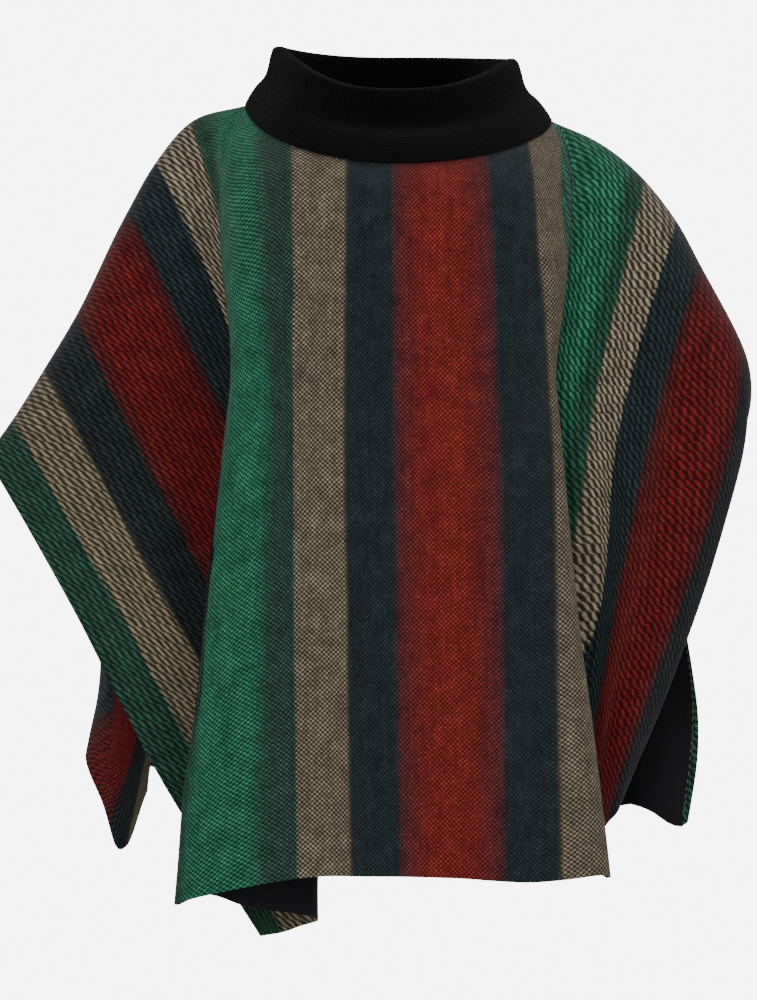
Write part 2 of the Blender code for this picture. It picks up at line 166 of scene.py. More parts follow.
# Places where the hem rides up, or down where less than 0: across, half width, rise at the hem,
# and the level where it starts.
FRONT_RISES = [(-298, 32, 11, 0.85), (20, 100, 3.5, 0.6), (150, 20, -7, 0.85)]
BACK_RISES = [(480, 30, -4, 0.8), (556, 20, -5, 0.8), (588, 9, 8, 0.93), (-458, 21, -9, 0.88)]

# Places where a stripe's edge leaves its column: across, half width, level, half height, shift.
FRONT_SHIFTS = [(122, 18, 0.12, 0.10, 22)]
BACK_SHIFTS = []

# Pieces of each span between two lines; folds take more than flat stretches.
FRONT_SPLITS = (7, 24, 28, 8, 12, 16, 16, 16, 16, 16, 8, 12, 12, 8, 12, 8, 7)
BACK_SPLITS = (7, 10, 12, 10, 10, 18, 18, 18, 18, 12, 14, 12, 11)
FRONT_ROWS = 163
BACK_ROWS = 145

# Creases: name, from (across, down), to (across, down), width, depth; less than 0 is a trough.
FRONT_CREASES = [
    ("left_body_fold", (-222, 170), (-238, 640), 15, -4.5),
    ("green_swell", (-175, 260), (-165, 690), 24, 3.0),
    ("green_edge_dip", (-132, 60), (-140, 430), 15, -2.5),
    ("beige_dip", (-98, 330), (-112, 690), 20, -2.5),
    ("red_left_swell", (-30, 300), (-26, 680), 26, 3.0),
    ("red_right_dip", (32, 120), (24, 480), 22, -2.0),
    ("right_chest_dip", (88, 180), (76, 660), 22, -3.5),
    ("right_edge_swell", (100, 90), (104, 520), 12, 1.5),
    ("neck_left_drag", (-180, 20), (-120, 190), 12, -2.5),
    ("neck_right_drag", (120, 20), (70, 170), 12, -2.0),
    ("left_wing_crease", (-494, 228), (-392, 334), 5, -5.0),
    ("left_wing_swell", (-380, 120), (-430, 420), 26, 3.5),
    ("left_wing_dip", (-310, 90), (-350, 330), 20, -3.5),
    ("left_wing_edge_dip", (-520, 130), (-540, 460), 18, -3.0),
    ("right_wing_dip", (262, 60), (300, 380), 16, -3.5),
    ("right_wing_swell", (310, 60), (350, 430), 20, 3.5),
    ("right_wing_outer_dip", (362, 90), (395, 520), 18, -4.0),
    ("right_wing_outer_swell", (420, 110), (435, 480), 20, 3.0),
]
BACK_CREASES = [
    ("left_fall", (-150, 130), (-165, 620), 26, -4.0),
    ("left_swell", (-95, 60), (-105, 600), 24, 4.0),
    ("middle_dip", (-20, 180), (-8, 640), 24, -4.0),
    ("middle_swell", (45, 90), (38, 620), 22, 3.5),
    ("right_fall", (110, 150), (128, 610), 24, -4.0),
    ("right_swell", (190, 60), (205, 560), 24, 3.5),
    ("right_wing_dip", (300, 60), (290, 460), 24, -4.0),
    ("left_wing_dip", (-300, 60), (-290, 420), 22, -3.5),
]

# How a crease wanders aside, as a share of its width, and how its depth swells, as a share of it:
# the most, the turns of the wave along the crease, and the wave's shift from crease to crease.
CREASE_WANDER = (0.35, 5.0, 1.7)
CREASE_SWELL = (0.3, 9.0, 2.3)
# Shares of a crease's length: to this far from its middle it is whole, and it fades over the next.
CREASE_WHOLE = 0.32
CREASE_FADE = 0.13

# Slight unevenness: wave length across and down, depth, shift.
RIPPLES = [
    (170.0, 420.0, 0.9, 0.4),
    (-95.0, 230.0, 0.6, 1.9),
    (61.0, -150.0, 0.35, 3.1),
]
# A slower wave runs along each ripple, at this share of its turns.
RIPPLE_SLOWER = 0.37
# Creases and ripples grow from nothing at the top seam over this length.
SEAM_REACH = 30.0

# Tables of each panel: lines, pieces of each span, rows, flutes, creases, rises, shifts of stripes,
# and how far on its ripples start.
PANELS = {
    "front": (FRONT_LINES, FRONT_SPLITS, FRONT_ROWS, FRONT_FLUTES, FRONT_CREASES, FRONT_RISES,
              FRONT_SHIFTS, 0.0),
    "back": (BACK_LINES, BACK_SPLITS, BACK_ROWS, BACK_FLUTES, BACK_CREASES, BACK_RISES,
             BACK_SHIFTS, 1.9),
}

# Sewing stitches along the turned edges: they start at this row, and then spacing, length, radius.
STITCH_FIRST_ROW = 4
STITCH_SPACING = 7.0
STITCH_LENGTH = 3.6
STITCH_RADIUS = 0.5
STITCH_RINGS = 7
STITCH_SIDES = 6
# Shape of a stitch: the share of its squared radius that is gone at its ends, the height of its
# middle over the cloth in radii, and how many times that height its ends lie below its middle.
STITCH_TAPER = 0.92
STITCH_STAND = 0.5
STITCH_DIP = 1.6

# Faces that meet at more than this angle keep a sharp edge between them.
SHARP_EDGE = np.radians(60)

# Stripes: distance from the middle of the centre stripe, light thread, dark thread.
STRIPES = [
    (0.0, "#9c3631", "#601a17"),
    (20.0, "#93322c", "#5b1917"),
    (46.3, "#62363a", "#3d1d1e"),
    (47.7, "#2e393d", "#1d2528"),
    (91.3, "#2e393d", "#1d2528"),
    (92.7, "#948872", "#40372b"),
    (138.3, "#948872", "#40372b"),
    (139.7, "#3e5950", "#1a2d27"),
    (160.0, "#3e5950", "#1a2d27"),
    (174.0, "#3b8a69", "#144231"),
    (214.0, "#3b8a69", "#144231"),
    (228.0, "#35604c", "#173328"),
    (243.3, "#35604c", "#173328"),
    (244.7, "#a39780", "#3d3528"),
    (288.3, "#a39780", "#3d3528"),
    (289.7, "#2f3c40", "#171e20"),
    (336.3, "#2f3c40", "#171e20"),
    (337.7, "#562a2a", "#331516"),
    (356.0, "#7c2421", "#430f0f"),
    (418.0, "#7c2421", "#430f0f"),
    (436.3, "#562a2a", "#331516"),
    (437.7, "#2f3638", "#171b1d"),
    (486.3, "#2f3638", "#171b1d"),
    (487.7, "#948970", "#3f3829"),
    (536.3, "#948970", "#3f3829"),
    (537.7, "#365d4c", "#162e26"),
    (582.0, "#365d4c", "#162e26"),
]
# Columns of that table.
LIGHT_THREAD, DARK_THREAD = 1, 2
# Length of the table's colour ramp in millimetres; from here on, lengths are in metres.
RAMP_LENGTH = 600.0
# One square of the weave, as large as the picture shows it, and how far slow noise moves it.
WEAVE_CELL = 0.0021
WEAVE_DRIFT = 0.0014
# Strokes on the wings, drawn coarser than the squares, as the picture shows them there: across
# where they take over (from, to), then the way over the cut that crosses them, across and up.
WINGS = (((0.139, 0.146), (0.67, 0.74, 0.0)), ((-0.240, -0.247), (0.87, 0.50, 0.0)))
STROKE_SPACING = 0.0048
STROKE_LENGTH = 0.0150
STROKE_DRIFT = 0.0060
# How strongly the slanted lines show, and the breaks that make strokes of them.
STROKE_LINES = 0.50
STROKE_BREAKS = 0.34
# How far a stripe's light threads reach past its edge, and its dark ones stop short of it.
EDGE_THREADS = 0.0011
# Right of the middle the dark green band beside the beige isn't there: bright green starts here.
RIGHT_BAND = (0.1397, 0.1720)
# Unevenness of the weave, as shares of its shade: each square's own, blotches, warp streaks.
OWN_SHADE = 0.45
MOTTLE = 1.15
STREAK = 0.6
# Width of a streak as a share of its length along the warp, and how far slow noise turns the hue.
STREAK_SQUEEZE = 0.05
HUE_DRIFT = 0.016
# How strongly fibres fray the squares, the heights between which the dark thread gives way to the
# light one, and how high a square stands against its fibres.
FRAY = 1.2
THREAD_SWAP = (-0.2, 0.4)
SQUARE_HEIGHT = 0.8
# How high the lining's wrinkles stand against its threads.
WRINKLE_HEIGHT = 8.0
# Loops of the knit, drawn a little coarser than a fine knit's, so that they show: the width of a
# column and the height of a row, then how far a row arches and how high it stands in a column.
KNIT_COLUMN = 0.0024
KNIT_ROW = 0.0020
KNIT_ARCH = 1.2
KNIT_LOOP = 0.35

# View: the height that the picture takes in at the shoulders' depth, and its middle (x, z).
VIEW_HEIGHT = 0.9
VIEW_MIDDLE = (-0.021, -0.344)
CAMERA_DISTANCE = 14.0
FLOOR_HEIGHT = -1.25
FLOOR_REACH = 8.0

# Soft boxes: name, place, width and height in metres, power in watts.
LIGHTS = [
    ("key", (-0.9, -4.0, 1.0), (1.6, 1.6), 55.0),
    ("fill", (2.4, -3.4, 0.2), (1.4, 2.0), 18.0),
    ("top", (0.0, -0.6, 3.0), (2.4, 1.6), 20.0),
    ("behind", (0.5, 4.0, 1.0), (2.0, 2.0), 30.0),
]
LIGHT_AIM = (0.0, 0.0, -0.3)
# Strength of the surround as light on the cloth, and as the camera sees it.
SURROUND_LIGHT = 0.35
SURROUND_SEEN = 7.0


def slopes_at(knots, values):
    """Slope at each knot: the two neighbouring rates, each weighted by the other one's span."""
    step = np.diff(knots)[..., None]
    rate = np.diff(values, axis=-2) / step
    near, far = rate[..., :-1, :], rate[..., 1:, :]
    inner = (near * step[..., 1:, :] + far * step[..., :-1, :]) / (step[..., 1:, :] + step[..., :-1, :])
    return np.concatenate([rate[..., :1, :], inner, rate[..., -1:, :]], axis=-2)


def hermite(knots, values, slopes, span, part):
    """Cubic through the knots: the blend of two values and two slopes, part of the way along."""
    width = (knots[..., span + 1] - knots[..., span])[..., None]
    p = part[:, None]
    return ((2 * p**3 - 3 * p**2 + 1) * values[..., span, :]
            + (p**3 - 2 * p**2 + p) * width * slopes[..., span, :]
            + (3 * p**2 - 2 * p**3) * values[..., span + 1, :]
            + (p**3 - p**2) * width * slopes[..., span + 1, :])


def table_at(table, across):
    """Smooth values of a table whose first column is the place across the cloth."""
    knots, values = table[:, 0], table[:, 1:]
    span = np.clip(np.searchsorted(knots, across, side="right") - 1, 0, len(knots) - 2)
    part = (across - knots[span]) / (knots[span + 1] - knots[span])
    return hermite(knots, values, slopes_at(knots, values), span, part)


def neck_side_height(leftward):
    """Height of the neckline's side, where the shoulder ridge meets it."""
    return np.where(leftward, RIDGE_LEFT[-1, 3], RIDGE_RIGHT[0, 3])


def neck_dip(leftward, side):
    """Slope of the neckline where it leaves the ridge, towards the front or the back."""
    return (neck_side_height(leftward) - NECK_HEIGHT[side]) / NECK_DEPTH[side]


def neck_point(angle, side):
    """Point of the neckline: an ellipse whose height dips towards the front and the back."""
    turn = np.radians(angle)
    sign = -1.0 if side == "front" else 1.0
    side_height = neck_side_height(angle < 0)
    middle_height = NECK_HEIGHT[side]
    return np.stack([
        NECK_MIDDLE[0] + NECK_HALF_WIDTH * np.sin(turn),
        NECK_MIDDLE[1] + sign * NECK_DEPTH[side] * np.cos(turn),
        middle_height + (side_height - middle_height) * (1 - np.cos(turn)),
    ], axis=-1)


def top_edge(across, side):
    """Points of a panel's top edge and the way the cloth leaves it, per unit of level."""
    sign = -1.0 if side == "front" else 1.0
    points = np.zeros((len(across), 3))
    leave = np.zeros((len(across), 3))
    for table, chosen in ((RIDGE_LEFT, across <= NECK_LEFT), (RIDGE_RIGHT, across >= NECK_RIGHT)):
        place = across[chosen]
        found = table_at(table, place)
        ahead = table_at(table, np.clip(place + RIDGE_STEP, table[0, 0], table[-1, 0]))
        behind = table_at(table, np.clip(place - RIDGE_STEP, table[0, 0], table[-1, 0]))
        along = ahead[:, :3] - behind[:, :3]
        along /= np.linalg.norm(along, axis=1, keepdims=True)
        outward = along * np.sign(place)[:, None]
        fade = np.exp(-np.abs(place - np.clip(place, NECK_LEFT, NECK_RIGHT)) / NECK_REACH)
        fall = np.stack([0 * place, 0 * place + sign, -neck_dip(place < 0, side) * fade], axis=-1)
        points[chosen] = found[:, :3]
        leave[chosen] = found[:, 3:] * (outward * (NECK_SPREAD * fade)[:, None] + fall)
    inside = (across > NECK_LEFT) & (across < NECK_RIGHT)
    table = NECK_FRONT if side == "front" else NECK_BACK
    angle = table_at(table, across[inside])[:, 0]
    turn = np.radians(angle)
    slope = np.where(angle < 0, *NECK_SIDE_SLOPES) + neck_dip(angle < 0, side)
    heading = np.stack([NECK_SPREAD * np.sin(turn), np.full(len(turn), sign),
                        -NECK_SLOPE * np.cos(turn) - slope * np.abs(np.sin(turn))], axis=-1)
    points[inside] = neck_point(angle, side)
    leave[inside] = NECK_FALL * heading
    return points, leave / LEVELS[1]


def flute_depth(flutes, across, level):
    """Depth of the soft flutes: a bell across the cloth that grows from its start to the hem."""
    depth = np.zeros(across.shape)
    for middle, half_width, most, start in flutes:
        bell = np.exp(-((across - middle) / half_width) ** 2)
        depth += most * bell * np.clip((level - start) / (1 - start), 0, 1) ** FLUTE_POWER
    return depth


def panel_normals(points, across, side):
    """Unit normals that face out of the garment; on the ridge both panels share one normal."""
    along = np.gradient(points, axis=1)
    down = np.gradient(points, axis=0)
    normal = np.cross(down, along) if side == "front" else np.cross(along, down)
    normal = -normal if normal[0, :, 2].mean() < 0 else normal
    for ridge, outward in ((across[0] <= NECK_LEFT, -1.0), (across[0] >= NECK_RIGHT, 1.0)):
        tangent = np.gradient(points[0, ridge], axis=0)
        shared = np.stack([-tangent[:, 2], np.zeros(len(tangent)), tangent[:, 0]], axis=-1)
        facing = shared[:, 0] * outward + shared[:, 2]
        normal[0, ridge] = shared * np.sign(facing)[:, None]
    return normal / np.linalg.norm(normal, axis=2, keepdims=True)


def column_places(splits):
    """Span and part of the way along it of each column."""
    span = np.repeat(np.arange(len(splits)), splits)
    part = np.concatenate([np.arange(n) / n for n in splits])
    return np.append(span, len(splits) - 1), np.append(part, 1.0)


def panel_grid(lines, side, splits, rows, flutes):
    """Points, places across the cloth and normals of a panel, as rows down and columns across.

    Each level is a section: a cubic through its lines, with knots at the roots of the chords.
    Each column then runs down a cubic through its four levels, leaving the top edge flat.
    """
    span, part = column_places(splits)
    line_across = np.array([line[1] for line in lines], dtype=float).T
    low = np.array([line[2:] for line in lines], dtype=float).transpose(1, 0, 2)
    chords = np.sqrt(np.linalg.norm(np.diff(low, axis=1), axis=2))
    knots = np.concatenate([np.zeros((len(chords), 1)), np.cumsum(chords, axis=1)], axis=1)
    sections = hermite(knots, low, slopes_at(knots, low), span, part)
    across_levels = line_across[:, span] * (1 - part) + line_across[:, span + 1] * part
    top, leave = top_edge(across_levels[0], side)
    levels = np.concatenate([np.concatenate([top[None], sections]), across_levels[..., None]], axis=2)
    columns = levels.transpose(1, 0, 2)
    slopes = slopes_at(np.broadcast_to(LEVELS, columns.shape[:2]), columns)
    slopes[:, 0, :3] = leave
    level = np.linspace(0, 1, rows)
    spans = len(LEVELS) - 1
    row_span = np.clip((level * spans).astype(int), 0, spans - 1)
    row_part = level * spans - row_span
    grid = hermite(np.broadcast_to(LEVELS, columns.shape[:2]), columns, slopes, row_span, row_part)
    grid = grid.transpose(1, 0, 2)
    points, across = grid[..., :3], grid[..., 3]
    normals = panel_normals(points, across, side)
    points = points + normals * flute_depth(flutes, across, level[:, None])[..., None]
    normals = panel_normals(points, across, side)
    ridge = (across[0] <= NECK_LEFT) | (across[0] >= NECK_RIGHT)
    points[0, ridge, 1] += (-0.5 if side == "front" else 0.5) * SEAM_GAP
    return points, across, normals


def wall_faces(rows, columns, closed):
    """Quads of a wall: the outer face, the inner face turned round, and the rims between them."""
    turn = columns if closed else columns - 1
    row, column = np.meshgrid(np.arange(rows - 1), np.arange(turn), indexing="ij")
    after = (column + 1) % columns
    outer = np.stack([row * columns + column, row * columns + after,
                      (row + 1) * columns + after, (row + 1) * columns + column], axis=-1).reshape(-1, 4)
    back = rows * columns
    inner = outer[:, ::-1] + back
    ends = []
    for edge_row, reverse in ((0, True), (rows - 1, False)):
        here = edge_row * columns + np.arange(turn)
        there = edge_row * columns + (np.arange(turn) + 1) % columns
        rim = np.stack([here, there, there + back, here + back], axis=-1)
        ends.append(rim[:, ::-1] if reverse else rim)
    if not closed:
        for edge_column, reverse in ((0, False), (columns - 1, True)):
            here = np.arange(rows - 1) * columns + edge_column
            rim = np.stack([here, here + columns, here + columns + back, here + back], axis=-1)
            ends.append(rim[:, ::-1] if reverse else rim)
    return np.concatenate([outer, inner] + ends)


def enclosed_volume(points, faces):
    """Signed volume of quads: the sum of the cones from the origin to each half of each quad."""
    a, b, c, d = (points[faces[:, k]] for k in range(4))
    cones = np.einsum("ij,ij->i", a, np.cross(b, c)) + np.einsum("ij,ij->i", a, np.cross(c, d))
    return cones.sum() / 6.0


def rim_point(angle, side):
    """Point of the collar's rim: an ellipse, high at the sides and the back, low in front."""
    turn = np.radians(angle)
    sign = -1.0 if side == "front" else 1.0
    side_height = np.where(angle < 0, RIM_HEIGHT["left"], RIM_HEIGHT["right"])
    rise = np.abs(np.sin(turn)) ** RIM_RISE_POWER
    return np.stack([
        RIM_MIDDLE[0] + RIM_HALF_WIDTH * np.sin(turn),
        RIM_MIDDLE[1] + sign * RIM_DEPTH[side] * np.cos(turn),
        RIM_HEIGHT[side] + (side_height - RIM_HEIGHT[side]) * rise,
    ], axis=-1)


def crease_depth(creases, across, down):
    """Depth of the creases at each point of a cloth, in millimetres along its normal.

    Each crease follows a line of the cut. Its depth falls off with the distance from that line
    as a bell, swells and fades along the line, and the line itself wanders a little.
    """
    depth = np.zeros(across.shape)
    wander, wander_turns, wander_shift = CREASE_WANDER
    swell, swell_turns, swell_shift = CREASE_SWELL
    for index, (_, start, end, width, most) in enumerate(creases):
        way = np.subtract(end, start)
        length = np.hypot(*way)
        along = ((across - start[0]) * way[0] + (down - start[1]) * way[1]) / length**2
        aside = ((down - start[1]) * way[0] - (across - start[0]) * way[1]) / length
        line = wander * width * np.sin(wander_turns * along + wander_shift * index)
        height = 1 + swell * np.sin(swell_turns * along + swell_shift * index)
        ends = np.exp(-(np.clip(np.abs(along - 0.5) - CREASE_WHOLE, 0, None) / CREASE_FADE) ** 2)
        depth += most * height * ends * np.exp(-((aside - line) / width) ** 2)
    return depth


def ripple_depth(across, down, phase):
    """Depth of the cloth's own slight unevenness: three crossed waves of unlike lengths."""
    depth = np.zeros(across.shape)
    for wave_across, wave_down, most, shift in RIPPLES:
        turn = 2 * np.pi * (across / wave_across + down / wave_down)
        depth += most * np.sin(turn + shift + phase) * np.cos(RIPPLE_SLOWER * turn + 2 * shift)
    return depth


def straightened(points, across):
    """Places across the cut, shifted so that the stripes fall straight from the neckline.

    Between the top edge and a third of the way down, a column bows out from the line between
    those two levels. The shift is that bow. It fades towards the neck's left corner, and beyond
    the right one, where the beige stripe ends in a straight line beside the fold.
    """
    third = (len(points) - 1) // (len(LEVELS) - 1)
    level = np.minimum(np.arange(len(points)) / third, 1.0)[:, None]
    line = points[0, :, 0] + (points[third, :, 0] - points[0, :, 0]) * level
    bow = np.where(level < 1, points[..., 0] - line, 0.0)
    inside = np.clip(np.minimum(across - NECK_LEFT, NECK_RIGHT + NECK_REACH - across) / NECK_REACH, 0, 1)
    return across + bow * inside**2 * (3 - 2 * inside)


def shifted(across, shifts):
    """Places across the cut, moved by a bell across and down where a stripe's edge leaves its column."""
    level = np.linspace(0, 1, len(across))[:, None]
    for middle, half_width, height, half_height, most in shifts:
        aside, along = (across - middle) / half_width, (level - height) / half_height
        across = across + most * np.exp(-aside**2 - along**2)
    return across


def down_the_cloth(points):
    """Distance of each point from the top edge of its column, along the cloth."""
    steps = np.linalg.norm(np.diff(points, axis=0), axis=2)
    return np.concatenate([np.zeros((1, points.shape[1])), np.cumsum(steps, axis=0)])


def dressed_grid(side):
    """A panel's fine grid with creases and ripples, which fade out at the top seam.

    Gives the points, the places across and down the cut, and the normals.
    """
    lines, splits, rows, flutes, creases, rises, shifts, phase = PANELS[side]
    points, across, normals = panel_grid(lines, side, splits, rows, flutes)
    points[..., 2] += flute_depth(rises, across, np.linspace(0, 1, rows)[:, None])
    across = shifted(straightened(points, across), shifts)
    down = down_the_cloth(points)
    fade = 1 - np.exp(-(down / SEAM_REACH) ** 2)
    depth = crease_depth(creases, across, down) + ripple_depth(across, down, phase)
    points = points + normals * (depth * fade)[..., None]
    return points, across, down, panel_normals(points, across, side)


def cloth_object(name, points, normals, outer, inner, cut, material, closed=False):
    """Closed shell between two offsets of a grid, with the cut as UV, as one named piece."""
    rows, columns = points.shape[:2]
    shell = np.concatenate([(points + outer * normals).reshape(-1, 3),
                            (points + inner * normals).reshape(-1, 3)]) * METRES_PER_MM
    quads = wall_faces(rows, columns, closed)
    if enclosed_volume(shell, quads) < 0:
        quads = quads[:, ::-1]
    mesh = bpy.data.meshes.new(name)
    mesh.from_pydata(shell.tolist(), [], quads.tolist())
    layer = mesh.uv_layers.new(name="cut")
    place = np.tile(np.stack(cut, axis=-1).reshape(-1, 2) * METRES_PER_MM, (2, 1))
    layer.uv.foreach_set("vector", place[quads.reshape(-1)].reshape(-1).astype(np.float32))
    mesh.materials.append(material)
    mesh.shade_smooth()
    mesh.set_sharp_from_angle(angle=SHARP_EDGE)
    return placed(name, mesh)


def placed(name, mesh):
    """An object for a finished mesh, at the origin and riding with the poncho's one body."""
    piece = bpy.data.objects.new(name, mesh)
    bpy.context.collection.objects.link(piece)
    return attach(piece, "root")


def collar_grid(columns, rows):
    """Points of the folded collar and their places round and up it, in millimetres.

    Round the neck the seam and the rim are ellipses with dipping heights. Up the collar a
    profile gives how far each point leans from the seam to the rim and how high it stands.
    """
    half = columns // 2
    angles = np.linspace(-90, 90, half + 1)
    seam = np.concatenate([neck_point(angles, "front"), neck_point(angles[::-1], "back")[1:-1]])
    rim = np.concatenate([rim_point(angles, "front"), rim_point(angles[::-1], "back")[1:-1]])
    inward = seam[:, :2].mean(axis=0) - seam[:, :2]
    inward /= np.linalg.norm(inward, axis=1, keepdims=True)
    forward = np.clip(-(seam[:, 1:2] - NECK_MIDDLE[1]) / NECK_DEPTH["front"], 0, 1) ** 2
    start = seam + np.array([0.0, 0.0, COLLAR_STAND]) + forward * COLLAR_OVERLAY
    knots = np.arange(len(COLLAR_PROFILE), dtype=float)
    place = np.linspace(0, knots[-1], rows)
    span = np.clip(place.astype(int), 0, len(knots) - 2)
    profile = hermite(knots, COLLAR_PROFILE, slopes_at(knots, COLLAR_PROFILE), span, place - span)
    lean, rise = profile[:, 0, None, None], profile[:, 1, None]
    points = np.zeros((rows, len(seam), 3))
    points[..., :2] = start[None, :, :2] + (rim - start)[None, :, :2] * np.minimum(lean, 1)
    points[..., :2] += inward[None] * np.maximum(lean - 1, 0) * COLLAR_FOLD_IN
    points[..., 2] = start[None, :, 2] + (rim - start)[None, :, 2] * rise
    around = np.linspace(0, COLLAR_GIRTH, len(seam))
    around = np.broadcast_to(around, (rows, len(seam)))
    return points, around, down_the_cloth(points)


def ring_normals(points):
    """Unit normals of a grid whose columns close to a ring."""
    around = np.roll(points, -1, axis=1) - np.roll(points, 1, axis=1)
    normals = np.cross(around, np.gradient(points, axis=0))
    return normals / np.linalg.norm(normals, axis=2, keepdims=True)


def stitch_row(name, path, outward, material):
    """A row of sewn stitches: short rounded threads along a path that stand on the cloth.

    The path is walked at even spacing. Each stitch is a tube whose rings shrink as the root of a
    parabola towards its two ends and dip into the cloth there.
    """
    steps = np.linalg.norm(np.diff(path, axis=0), axis=1)
    walked = np.concatenate([[0.0], np.cumsum(steps)])
    centres = np.arange(STITCH_SPACING, walked[-1] - STITCH_SPACING, STITCH_SPACING)
    ring = np.linspace(-1, 1, STITCH_RINGS)
    turn = np.arange(STITCH_SIDES) * 2 * np.pi / STITCH_SIDES
    at = centres[:, None] + ring[None] * STITCH_LENGTH / 2
    middle = np.stack([np.interp(at, walked, path[:, k]) for k in range(3)], axis=-1)
    normal = np.stack([np.interp(at, walked, outward[:, k]) for k in range(3)], axis=-1)
    tangent = np.gradient(middle, axis=1)
    tangent /= np.linalg.norm(tangent, axis=2, keepdims=True)
    side = np.cross(tangent, normal)
    side /= np.linalg.norm(side, axis=2, keepdims=True)
    fat = STITCH_RADIUS * np.sqrt(1 - STITCH_TAPER * ring**2)
    stand = STITCH_STAND * STITCH_RADIUS * (1 - STITCH_DIP * ring**2)
    lifted = middle + normal * stand[None, :, None]
    tube = (lifted[:, :, None]
            + fat[None, :, None, None] * (np.cos(turn)[:, None] * normal[:, :, None]
                                          + np.sin(turn)[:, None] * side[:, :, None]))
    here, turned = np.meshgrid(np.arange(STITCH_RINGS - 1) * STITCH_SIDES, np.arange(STITCH_SIDES),
                               indexing="ij")
    after = (turned + 1) % STITCH_SIDES
    there = here + STITCH_SIDES
    quads = np.stack([here + turned, here + after, there + after, there + turned], axis=-1)
    first = STITCH_RINGS * STITCH_SIDES * np.arange(len(centres))
    quads = (quads.reshape(1, -1, 4) + first[:, None, None]).reshape(-1, 4)
    mesh = bpy.data.meshes.new(name)
    mesh.from_pydata((tube.reshape(-1, 3) * METRES_PER_MM).tolist(), [], quads.tolist())
    mesh.materials.append(material)
    mesh.shade_smooth()
    return placed(name, mesh)


def linear(hex_colour):
    """A colour for a shader socket: sRGB hex turned to linear light, with full opacity."""
    coded = np.array([int(hex_colour[k:k + 2], 16) for k in (1, 3, 5)]) / 255
    light = np.where(coded <= 0.04045, coded / 12.92, ((coded + 0.055) / 1.055) ** 2.4)
    return (*light.tolist(), 1.0)


def add_node(tree, kind, settings=None, inputs=None):
    """A node with its settings, and with its inputs set or linked.

    An input is a value, another node's output, or a node, whose first output is then linked.
    """
    made = tree.nodes.new(kind)
    for name, value in (settings or {}).items():
        setattr(made, name, value)
    for name, value in (inputs or {}).items():
        if isinstance(value, bpy.types.Node):
            value = value.outputs[0]
        if isinstance(value, bpy.types.NodeSocket):
            tree.links.new(value, made.inputs[name])
        else:
            made.inputs[name].default_value = value
    return made


def thread_ramp(tree, place, column):
    """Colour of one thread across the cloth, read from a column of the stripe table."""
    ramp = add_node(tree, "ShaderNodeValToRGB", {}, {"Fac": place})
    elements = ramp.color_ramp.elements
    for row, stripe in enumerate(STRIPES):
        spot = stripe[0] / RAMP_LENGTH
        element = elements[row] if row < 2 else elements.new(spot)
        element.position = spot
        element.color = linear(stripe[column])
    return ramp


def new_material(name, roughness, specular, sheen, sheen_roughness):
    """A material with its tree and shader; the constants sit on the shader's own sockets."""
    material = bpy.data.materials.new(name)
    material.use_nodes = True
    tree = material.node_tree
    shader = tree.nodes["Principled BSDF"]
    shader.inputs["Roughness"].default_value = roughness
    shader.inputs["Specular IOR Level"].default_value = specular
    shader.inputs["Sheen Weight"].default_value = sheen
    shader.inputs["Sheen Roughness"].default_value = sheen_roughness
    return material, tree, shader


def stripe_threads(tree, across):
    """Colours of the dark and the light thread at each place across the cloth.

    The stripes lie alike to both sides of the middle, so the table is read at the distance from
    it. Beside the right beige stripe the distance is held at the bright green's.
    """
    right = add_node(tree, "ShaderNodeMath", {"operation": "GREATER_THAN"}, {0: across, 1: RIGHT_BAND[0]})
    held = add_node(tree, "ShaderNodeMath", {"operation": "MULTIPLY"}, {0: right, 1: RIGHT_BAND[1]})
    aside = add_node(tree, "ShaderNodeMath", {"operation": "ABSOLUTE"}, {0: across})
    distance = add_node(tree, "ShaderNodeMath", {"operation": "MAXIMUM"}, {0: aside, 1: held})
    length = RAMP_LENGTH * METRES_PER_MM
    threads = []
    for reach, column in ((EDGE_THREADS, DARK_THREAD), (-EDGE_THREADS, LIGHT_THREAD)):
        place = add_node(tree, "ShaderNodeMath", {"operation": "MULTIPLY_ADD"},
                         {0: distance, 1: 1 / length, 2: reach / length})
        threads.append(thread_ramp(tree, place, column))
    return threads


def woven_squares(tree, place):
    """Squares of the weave: a sine across times a sine up, above 0 where the light thread shows."""
    sines = []
    for axis in ("X", "Y"):
        turn = add_node(tree, "ShaderNodeMath", {"operation": "MULTIPLY"},
                        {0: place.outputs[axis], 1: np.pi / WEAVE_CELL})
        sines.append(add_node(tree, "ShaderNodeMath", {"operation": "SINE"}, {0: turn}))
    return add_node(tree, "ShaderNodeMath", {"operation": "MULTIPLY"}, dict(enumerate(sines)))


